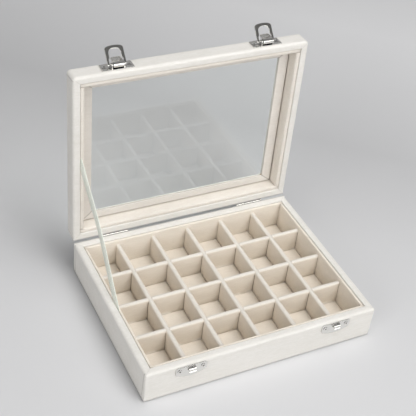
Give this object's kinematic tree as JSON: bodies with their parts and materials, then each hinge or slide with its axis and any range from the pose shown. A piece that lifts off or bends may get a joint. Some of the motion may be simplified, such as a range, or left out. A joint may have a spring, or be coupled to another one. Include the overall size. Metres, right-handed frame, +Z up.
{
  "type": "jewellery box",
  "caption": "Velvet-wrapped tray of square cells under a hinged glass lid, with toggle latches at the front and a ribbon stay.",
  "frame": {"origin": "middle of the underside, where the felt meets the table", "axes": "+X to the right along the hinges, +Y to the back where the hinges are, +Z up"},
  "size_m": [0.2, 0.1783, 0.1982],
  "materials": {
    "velvet": "short pile velvet, warm off-white",
    "lining": "short pile velvet, warm beige-white",
    "board": "raw fibreboard, hidden under the velvet",
    "felt": "thin felt",
    "glass": "clear float glass",
    "nickel": "polished nickel plate on stamped steel",
    "ribbon": "woven satin ribbon"
  },
  "bodies": {
    "base": {"base_front_board": "board", "base_back_board": "board", "base_left_board": "board", "base_right_board": "board", "base_bottom_board": "board", "base_velvet_wrap": "velvet", "underside_felt": "felt", "base_liner_front": "lining", "base_liner_back": "lining", "base_liner_left": "lining", "base_liner_right": "lining", "floor_pad": "lining", "long_divider_1": "lining", "long_divider_2": "lining", "long_divider_3": "lining", "cross_divider_1": "lining", "cross_divider_2": "lining", "cross_divider_3": "lining", "cross_divider_4": "lining", "cross_divider_5": "lining", "keeper_left": "nickel", "keeper_right": "nickel", "hinge_base_leaf_left": "nickel", "hinge_base_leaf_right": "nickel", "hinge_pin_left": "nickel", "hinge_pin_right": "nickel", "stay_ribbon": "ribbon"},
    "lid": {"lid_front_rail": "board", "lid_back_rail": "board", "lid_left_rail": "board", "lid_right_rail": "board", "lid_window_panel": "board", "lid_velvet_wrap": "velvet", "lid_glass_pane": "glass", "retainer_front": "lining", "retainer_back": "lining", "retainer_left": "lining", "retainer_right": "lining", "lid_liner_front": "lining", "lid_liner_back": "lining", "lid_liner_left": "lining", "lid_liner_right": "lining", "hinge_lid_leaf_left": "nickel", "hinge_lid_leaf_right": "nickel", "latch_plate_left": "nickel", "latch_plate_right": "nickel", "latch_pin_left": "nickel", "latch_pin_right": "nickel"},
    "latch_lever_left": {"latch_lever_left": "nickel"},
    "latch_lever_right": {"latch_lever_right": "nickel"},
    "latch_loop_left": {"latch_loop_left": "nickel"},
    "latch_loop_right": {"latch_loop_right": "nickel"}
  },
  "joints": [
    {"name": "lid_hinge", "type": "hinge", "parent": "base", "child": "lid", "pos_m": [0, 0.0781, 0.03015], "axis": [-1, 0, 0], "range_deg": [-91, 0], "deforming": ["stay_ribbon"]},
    {"name": "latch_lever_left_turn", "type": "hinge", "parent": "lid", "child": "latch_lever_left", "pos_m": [-0.063, 0.08572, 0.18879], "axis": [1, 0, 0], "range_deg": [0, 160]},
    {"name": "latch_loop_left_turn", "type": "hinge", "parent": "latch_lever_left", "child": "latch_loop_left", "pos_m": [-0.063, 0.088, 0.1878], "axis": [-1, 0, 0], "range_deg": [-133.7, 40]},
    {"name": "latch_lever_right_turn", "type": "hinge", "parent": "lid", "child": "latch_lever_right", "pos_m": [0.063, 0.08572, 0.18879], "axis": [1, 0, 0], "range_deg": [0, 160]},
    {"name": "latch_loop_right_turn", "type": "hinge", "parent": "latch_lever_right", "child": "latch_loop_right", "pos_m": [0.063, 0.088, 0.1878], "axis": [-1, 0, 0], "range_deg": [-133.7, 40]}
  ]
}
